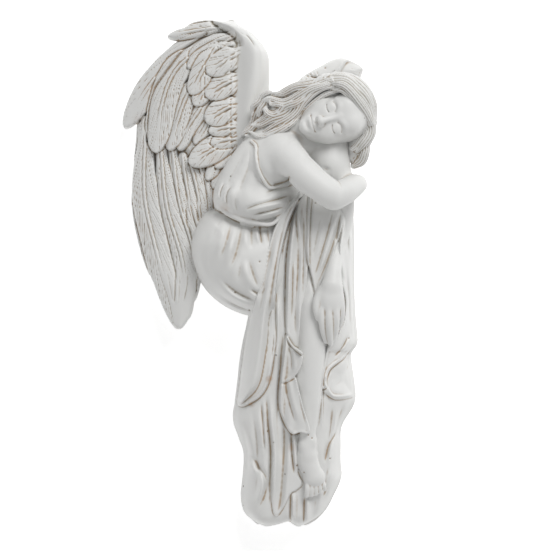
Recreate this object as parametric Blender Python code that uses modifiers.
"""A sleeping angel, cast in one piece of white resin, lying on its flat back.

The angel is drawn on a grid as it is seen from the front: x runs to the right, y down from
the head to the hem and z up from the flat back, all in squares. The casting is DRAWN_HEIGHT
squares tall, so every place, width and fold is a share of its height. The limbs, folds,
feathers and locks are laid on like rolls of clay and fused into one skin.
"""

import math

import bmesh
import bpy
import numpy as np
from mathutils import Matrix, Vector

HEIGHT = 0.300  # top of the near wing to the end of the hem
DRAWN_HEIGHT = 508  # squares of the drawing over that height
SQUARE = HEIGHT / DRAWN_HEIGHT
MIDDLE_X = 246.6  # squares, the middle of the casting's box
MIDDLE_Y = 273.4

CLAY_GRAIN = 0.0011  # size of the voxels that fuse the clay
KEPT_FACES = 0.038  # share of the fused faces that the casting keeps
BACK_MARGIN = 0.02  # how far the back cutter reaches past the casting

FEATHER_THICKNESS = 5.5  # squares, like every number from here on
CLOTH_LAYER = 5.0
SIDE_PLEATS = 13  # folds that the hanging cloth would have all round
SIDE_PLEAT = 3.2
BACK_SINK = 8  # how far the cloth reaches below the cut


def place(x, y, z):
    """A point of the drawing in metres, with y turned to run up."""
    return Vector(((x - MIDDLE_X) * SQUARE, (MIDDLE_Y - y) * SQUARE, z * SQUARE))


def through(points, count):
    """A smooth run of count points through the given ones, of any number of values each."""
    knots = np.array(points, float)
    knots = np.vstack([2 * knots[0] - knots[1], knots, 2 * knots[-1] - knots[-2]])
    run = np.linspace(0, len(points) - 1 - 1e-9, count)
    start = run.astype(int)
    t = (run - start)[:, None]
    a, b, c, d = (knots[start + i] for i in range(4))
    return 0.5 * (2 * b + (c - a) * t + (2 * a - 5 * b + 4 * c - d) * t**2
                  + (3 * b - a - 3 * c + d) * t**3)


def along(y, stations):
    """The value at each y of a smooth line through (y, value) stations."""
    line = through(stations, 12 * len(stations))
    return np.interp(y, line[:, 0], line[:, 1])


def fade(t):
    """Nought to one with soft ends."""
    t = np.clip(t, 0, 1)
    return t * t * (3 - 2 * t)


def stroke(x, y, path, width, height, sharp=False):
    """The height that one fold along path adds at each point: a soft ridge, or a sharp crease."""
    line = through(path, 4 * len(path))
    nearest = np.full(x.shape, 1e9)
    where = np.zeros(x.shape)
    for i in range(len(line) - 1):
        a, step = line[i], line[i + 1] - line[i]
        t = np.clip(((x - a[0]) * step[0] + (y - a[1]) * step[1]) / (step @ step), 0, 1)
        gap = np.hypot(x - a[0] - t * step[0], y - a[1] - t * step[1])
        closer = gap < nearest
        nearest[closer] = gap[closer]
        where[closer] = ((i + t) / (len(line) - 1))[closer]
    ends = fade(where / 0.2) * fade((1 - where) / 0.2)
    across = np.exp(-nearest / width) if sharp else np.exp(-((nearest / width) ** 2))
    return height * across * ends


class Clay:
    """The rolls of clay, all in one mesh and one curve until they are fused."""

    def __init__(self):
        self.mesh = bmesh.new()
        self.rolls = bpy.data.curves.new("rolls", "CURVE")
        self.rolls.dimensions = "3D"
        self.rolls.bevel_depth = SQUARE
        self.rolls.bevel_resolution = 2
        self.rolls.use_fill_caps = True

    def roll(self, path, count=12):
        """A round roll through (x, y, z, radius) points, with round ends."""
        line = through(path, count)
        ends = []
        for end, inner in ((line[0], line[1]), (line[-1], line[-2])):
            way = (end - inner)[:3]
            way /= np.linalg.norm(way)
            ends.append([np.append(end[:3] + way * end[3] * math.sin(a), end[3] * math.cos(a))
                         for a in (0.6, 1.1, 1.5)])
        line = [*reversed(ends[0]), *line, *ends[1]]
        spline = self.rolls.splines.new("POLY")
        spline.points.add(len(line) - 1)
        for point, (x, y, z, radius) in zip(spline.points, line):
            point.co = (*place(x, y, z), 1)
            point.radius = max(radius, 0.05)

    def egg(self, centre, radii, turn=0.0):
        """An egg with radii along x, y and z, turned in the drawing."""
        size = Matrix.Diagonal((*(r * SQUARE for r in radii), 1))
        turned = Matrix.Rotation(math.radians(turn), 4, "Z")
        bmesh.ops.create_uvsphere(
            self.mesh, u_segments=48, v_segments=32, radius=1,
            matrix=Matrix.Translation(place(*centre)) @ turned @ size,
        )

    def sheet(self, points):
        """A closed body from rows of points: the first and last rows are capped."""
        rows = [[self.mesh.verts.new(place(*p)) for p in row] for row in points]
        count = len(rows[0])
        for upper, lower in zip(rows, rows[1:]):
            for i in range(count):
                j = (i + 1) % count
                self.mesh.faces.new((upper[i], upper[j], lower[j], lower[i]))
        self.mesh.faces.new(reversed(rows[0]))
        self.mesh.faces.new(rows[-1])

    def feather(self, root, bend, tip, width, lift):
        """A blade from root to tip, as wide as width, with a round end, floating at its lift."""
        line = through([root, bend, tip], 10)
        rings = []
        for i, (x, y, z) in enumerate(line):
            t = i / (len(line) - 1)
            before, after = line[max(i - 1, 0)], line[min(i + 1, len(line) - 1)]
            way = (after - before)[:2]
            side = np.array([way[1], -way[0]]) / np.linalg.norm(way)
            tip_round = math.sqrt(max(1 - max((t - 0.7) / 0.3, 0) ** 2, 0.02))
            half = width / 2 * (0.45 + 0.55 * fade(t / 0.4)) * tip_round
            rings.append([
                (x + side[0] * half * math.cos(a), y + side[1] * half * math.cos(a),
                 z + lift + FEATHER_THICKNESS / 2 * math.sin(a))
                for a in np.linspace(0, 2 * math.pi, 10, endpoint=False)
            ])
        self.sheet(rings)

    def fused(self, name):
        """One object of all the clay, fused by voxels, thinned and cut flat at the back."""
        mesh = bpy.data.meshes.new(name)
        body = bpy.data.objects.new(name, mesh)
        rolls = bpy.data.objects.new("rolls", self.rolls)
        bpy.context.scene.collection.objects.link(rolls)
        graph = bpy.context.evaluated_depsgraph_get()
        round_mesh = bpy.data.meshes.new_from_object(rolls.evaluated_get(graph))
        self.mesh.from_mesh(round_mesh)
        bpy.data.objects.remove(rolls)
        bmesh.ops.remove_doubles(self.mesh, verts=self.mesh.verts[:], dist=1e-7)
        bmesh.ops.recalc_face_normals(self.mesh, faces=self.mesh.faces[:])
        self.mesh.to_mesh(mesh)
        self.mesh.free()
        return body


def wing_height(x, y):
    """How high the near wing lies: a shallow arch, low at its outer edge."""
    across = (x - 120) / 140
    return 15 + 36 * across + 9 * math.sin(math.pi * min(max(across, 0), 1)) - 0.03 * (y - 150)


def near_wing(clay):
    """The big wing on the left: a thick front edge, long quills and rows of short coverts."""
    front_edge = [
        (262, 132, 56, 13), (259, 100, 56, 17), (255, 66, 53, 17), (243, 42, 48, 15),
        (226, 31, 42, 10), (212, 29, 38, 6),
    ]
    clay.roll(front_edge, 20)
    flesh = (
        (236, 78, 26, 44), (238, 128, 26, 36), (206, 108, 34, 52), (178, 128, 34, 62),
        (170, 190, 28, 60), (205, 185, 24, 50),
    )
    for x, y, wide, tall in flesh:
        clay.egg((x, y, wing_height(x, y) - 5), (wide, tall, 7))
    quills = (
        ((232, 34), (200, 26), (166, 35), 17), ((222, 42), (160, 62), (121, 124), 24),
        ((180, 62), (141, 150), (166, 298), 19), ((176, 90), (154, 200), (179, 328), 24),
        ((186, 110), (172, 210), (193, 312), 21), ((196, 120), (184, 210), (202, 288), 19),
        ((208, 130), (196, 200), (208, 262), 18), ((224, 140), (210, 190), (214, 238), 17),
        ((240, 150), (226, 185), (216, 216), 16),
    )
    for i, (root, bend, tip, width) in enumerate(quills):
        points = [(x, y, wing_height(x, y)) for x, y in (root, bend, tip)]
        clay.feather(*points, width, 1.2 * (i % 2) - 1)
    coverts = (
        ((204, 44), (158, 84), (155, 150), 21), ((208, 56), (172, 96), (171, 149), 18),
        ((212, 72), (184, 104), (186, 148), 17), ((222, 96), (198, 122), (196, 142), 16),
        ((226, 132), (212, 146), (203, 168), 30), ((212, 56), (200, 72), (194, 92), 20),
        ((224, 84), (210, 94), (202, 108), 20),
    )
    for root, bend, tip, width in coverts:
        points = [(x, y, wing_height(x, y)) for x, y in (root, bend, tip)]
        clay.feather(*points, width, 5)
    for row in range(5):
        y = 62 + 20 * row
        points = [(x, y + dy, wing_height(x, y)) for x, dy in ((236, -8), (224, 0), (210, 8))]
        clay.feather(*points, 18, 8)


def far_wing(clay):
    """The wing behind the head: its arch shows above the hair, its quills hang behind."""
    arch = [(264, 168, 40, 12), (278, 138, 38, 14), (290, 108, 38, 14), (308, 82, 38, 12), (330, 66, 34, 11),
            (346, 62, 30, 8)]
    clay.roll(arch, 16)
    clay.egg((308, 128, 24), (34, 58, 14), turn=-20)
    clay.feather((322, 70, 32), (344, 66, 33), (363, 70, 26), 24, 2)
    for i in range(5):
        root, bend = (326 - 6 * i, 78 + 8 * i, 24), (352 - 6 * i, 96 + 26 * i, 20)
        clay.feather(root, bend, (352 - 8 * i, 130 + 38 * i, 12), 21, 2 - 0.5 * i)


def body(clay):
    """Torso, hip, bent knee, arms, neck, head, hand and foot."""
    clay.roll([(249, 214, 62, 27), (250, 200, 64, 33), (256, 188, 68, 35), (262, 172, 72, 31),
               (268, 160, 74, 27), (272, 148, 76, 21)], 16)
    clay.egg((262, 178, 66), (26, 34, 46), turn=-35)
    clay.egg((238, 262, 44), (47, 54, 58))
    clay.egg((322, 218, 60), (29, 40, 44))
    right_arm = [
        (284, 152, 92, 16), (284, 158, 104, 18), (300, 174, 118, 14.5), (320, 191, 124, 13.5),
        (333, 197, 119, 13), (348, 191, 104, 12), (354, 184, 84, 10),
    ]
    left_arm = [
        (300, 168, 54, 18), (325, 168, 78, 18), (338, 176, 88, 16), (341, 205, 92, 12),
        (338, 250, 98, 9), (334, 286, 104, 7.5),
    ]
    clay.roll(right_arm, 24)
    clay.roll(left_arm, 24)
    clay.roll([(270, 148, 76, 20), (290, 133, 86, 14), (306, 125, 96, 13)])
    clay.egg((341, 118, 96), (35, 30, 35), turn=15)
    clay.egg((331, 125, 108), (31, 26, 28), turn=15)
    clay.egg((311, 133, 120), (11, 12, 12), turn=15)
    clay.roll([(334, 125, 134, 2.6), (326, 128, 139, 3.4), (321, 129, 137, 4)])
    clay.egg((316, 128.5, 131), (5, 8, 5), turn=15)
    for side in (-1, 1):
        clay.egg((338 + 3 * side, 127 + 11 * side, 129), (4, 7, 5), turn=15)
    left_hand(clay)
    near_leg(clay)


def left_hand(clay):
    """The hand that rests on the knee, its fingers hanging."""
    clay.egg((333, 304, 106), (10, 16, 6), turn=6)
    for i in range(4):
        x = 325 + 5 * i
        clay.roll([(x, 312, 106, 3.4), (x - 2, 328, 106, 3), (x - 4, 341 - 1.5 * i * i, 101, 2.4)])
    clay.roll([(325, 300, 106, 3.4), (318, 307, 107, 3.4), (316, 315, 104, 2.8)])


def near_leg(clay):
    """The bare shin and the pointed foot with its toes."""
    shin = [
        (322, 292, 84, 16), (314, 320, 84, 16), (312, 360, 80, 14), (309, 405, 74, 11), (308, 438, 70, 8.5),
        (311, 462, 68, 10), (316, 482, 64, 11),
    ]
    clay.roll(shin, 20)
    for i in range(5):
        x = 308 + 4.2 * i
        clay.roll([(x, 478, 64, 3.6), (x + 1.5, 488 + i % 2, 63, 3.2), (x + 2, 494 - i, 60, 2.6)], 6)


def hair(clay):
    """A cap of hair round the crown and thick waved locks, swept back over the shoulder."""
    cap, radii = (341, 113, 92), (27, 32, 38)
    clay.egg(cap, radii, turn=15)
    for row in range(6):
        tilt = math.radians(52 - 22 * row)
        lock = []
        for turn in (-50, -10, 30, 75, 120, 150):
            a = math.radians(turn)
            lock.append((cap[0] + (radii[0] - 1) * math.sin(a) * math.cos(tilt) ** 0.7,
                         cap[1] - radii[1] * math.cos(a) * math.cos(tilt) ** 0.7,
                         cap[2] + radii[2] * math.sin(tilt), 5.5))
        clay.roll(lock, 18)
    swept = (
        ((334, 88, 114, 8), (314, 93, 112, 8), (296, 98, 106, 8), (276, 96, 96, 6)),
        ((322, 92, 108, 8), (300, 104, 110, 8), (280, 112, 102, 9), (264, 108, 88, 6)),
        ((306, 108, 104, 8), (288, 118, 104, 9), (270, 128, 96, 9), (250, 138, 80, 6)),
        ((300, 116, 94, 9), (280, 124, 90, 10), (262, 132, 82, 9), (246, 134, 68, 6)),
        ((316, 88, 98, 8), (298, 95, 96, 8), (280, 102, 88, 8), (262, 118, 74, 7)),
    )
    for lock in swept:
        clay.roll(lock, 14)
    clay.roll([(362, 140, 96, 8), (360, 154, 90, 8), (356, 164, 82, 5)], 10)


def column_outline(y):
    """Left edge, right edge and front height of the hanging cloth at each y."""
    left = along(y, [(182, 316), (188, 304), (207, 289), (235, 272), (262, 266), (290, 259), (319, 250),
                     (350, 243), (380, 239), (405, 236), (421, 234), (438, 239), (456, 245), (480, 244),
                     (503, 242), (518, 247), (529, 262)])
    right = along(y, [(182, 336), (190, 347), (205, 351), (240, 353), (280, 353), (310, 354), (344, 356),
                      (352, 350), (362, 350), (380, 353), (396, 355), (405, 354), (428, 341), (448, 340),
                      (467, 340), (480, 341), (494, 335), (515, 323), (529, 302)])
    front = along(y, [(182, 34), (186, 58), (194, 77), (205, 87), (240, 92), (290, 86), (340, 80), (400, 72),
                      (460, 64), (505, 58), (520, 52), (529, 36)])
    return left, right, front


def hanging_folds(x, y):
    """The relief of the hanging cloth: ridges and layers that run down from the knee to the hem."""
    ridges = (
        ([(294, 205), (277, 240), (268, 290), (258, 350), (248, 396)], 8, 6),
        ([(290, 238), (281, 270), (278, 330), (274, 390), (262, 430)], 5, 6),
        ([(301, 205), (297, 250), (296, 300), (295, 345), (290, 372)], 8, 8),
        ([(345, 206), (337, 240), (325, 275), (316, 294)], 6, 6),
        ([(349, 215), (348, 260), (350, 310), (352, 342)], 5, 6),
        ([(292, 376), (291, 420), (285, 470), (281, 522)], 8, 7),
        ([(244, 416), (256, 446), (260, 480), (255, 524)], 9, 6),
        ([(334, 380), (332, 420), (330, 460), (322, 500)], 7, 6),
        ([(298, 494), (297, 508), (297, 524)], 6, 5),
    )
    creases = (
        ([(298, 202), (296, 220), (298, 244)], 2.5, -8),
        ([(289, 242), (286, 285), (283, 345), (279, 400), (277, 425)], 3, -9),
        ([(307, 240), (308, 268), (315, 297)], 3, -9),
        ([(270, 400), (270, 432), (272, 470), (272, 505)], 3, -8),
        ([(344, 206), (337, 247), (342, 290)], 3, -7),
        ([(290, 490), (290, 523)], 2.5, -7),
        ([(306, 496), (306, 523)], 2.5, -7),
    )
    relief = sum(stroke(x, y, path, width, height) for path, width, height in ridges)
    relief += sum(stroke(x, y, path, width, height, sharp=True) for path, width, height in creases)
    left_hem = along(x, [(230, 408), (248, 403), (260, 395), (268, 382), (272, 362), (276, 180)])
    right_hem = along(x, [(318, 385), (325, 375), (337, 360), (350, 350), (360, 344)])
    left_layer = fade((left_hem - y) / 3)
    right_layer = fade((right_hem - y) / 3)
    return relief + CLOTH_LAYER * (left_layer * (x < 274) + right_layer * (x > 324))


def hanging_cloth(clay):
    """The cloth that falls from the knee past the feet, a rounded column with a flat back."""
    round_it = np.linspace(-math.pi / 2, 3 * math.pi / 2, 96, endpoint=False)
    rows = []
    for y in np.linspace(182, 528, 112):
        left, right, front = column_outline(y)
        belly = 0.38 * front
        out, up = np.cos(round_it), np.sin(round_it)
        x = (left + right) / 2 + (right - left) / 2 * np.sign(out) * np.abs(out) ** 0.8
        z = belly + np.where(up > 0, front - belly, belly + BACK_SINK) * np.sign(up) * np.abs(up) ** 0.8
        pleats = SIDE_PLEAT * np.cos(SIDE_PLEATS * round_it + 0.8 * math.sin(y / 45))
        pleats *= fade((np.abs(out) - 0.55) / 0.3)
        relief = np.where(up > 0, hanging_folds(x, np.full(x.shape, y)) * fade(up / 0.5), 0) + pleats
        rows.append(list(zip(x + relief * out, np.full(x.shape, y), z + relief * up)))
    clay.sheet(rows)


def dress(clay):
    """The rolls of cloth round the waist and the gathered folds over the hip."""
    clay.roll([(218, 200, 54, 8), (226, 212, 80, 8), (246, 222, 94, 8), (272, 222, 96, 7)], 16)
    for i in range(5):
        x = 226 + 9 * i
        clay.roll([(x, 226, 92 + i, 3), (x - 8 + 3 * i, 250, 106, 4.5), (x - 12 + 5 * i, 278, 100, 3)], 8)
    for i in range(3):
        low = 82 - 10 * i
        hem = [(214 + 6 * i, 286 + 6 * i, low, 3), (232, 297 + 7 * i, low, 4), (254, 302 + 7 * i, low, 4)]
        clay.roll(hem, 8)
    clay.roll([(300, 190, 100, 8), (280, 204, 98, 9), (262, 214, 94, 9)], 10)
    clay.roll([(255, 146, 92, 5), (256, 166, 100, 5), (266, 186, 102, 6), (286, 186, 102, 5)], 12)


def resin(name):
    """Matt off-white resin."""
    material = bpy.data.materials.new(name)
    material.use_nodes = True
    shader = material.node_tree.nodes["Principled BSDF"]
    shader.inputs["Base Color"].default_value = (0.72, 0.71, 0.67, 1)
    shader.inputs["Roughness"].default_value = 0.55
    shader.inputs["Metallic"].default_value = 0.0
    return material


def back_cutter(collection):
    """The block under the back: what it takes away leaves the casting flat at z = 0."""
    depth = HEIGHT / 4
    bpy.ops.mesh.primitive_cube_add(size=1, location=(0, 0, -depth / 2))
    cutter = bpy.context.active_object
    cutter.name = "back_cutter"
    cutter.scale = (HEIGHT, HEIGHT + 2 * BACK_MARGIN, depth)
    bpy.ops.object.transform_apply(location=False, rotation=False, scale=True)
    cutter.hide_render = True
    cutter.display_type = "WIRE"
    for other in list(cutter.users_collection):
        other.objects.unlink(cutter)
    collection.objects.link(cutter)
    return cutter


def main():
    for thing in list(bpy.data.objects):
        bpy.data.objects.remove(thing)
    casting = bpy.data.collections.new("sleeping_angel")
    cutters = bpy.data.collections.new("cutters")
    for collection in (casting, cutters):
        bpy.context.scene.collection.children.link(collection)

    clay = Clay()
    for lay_on in (near_wing, far_wing, body, hair, dress, hanging_cloth):
        lay_on(clay)
    angel = clay.fused("sleeping_angel")
    casting.objects.link(angel)
    angel.data.materials.append(resin("white_resin"))

    fuse = angel.modifiers.new("fuse", "REMESH")
    fuse.mode = "VOXEL"
    fuse.voxel_size = CLAY_GRAIN
    soften = angel.modifiers.new("soften", "SMOOTH")
    soften.factor = 0.5
    soften.iterations = 2
    thin = angel.modifiers.new("thin", "DECIMATE")
    thin.ratio = KEPT_FACES
    cut = angel.modifiers.new("cut_back", "BOOLEAN")
    cut.operation = "DIFFERENCE"
    cut.object = back_cutter(cutters)


main()
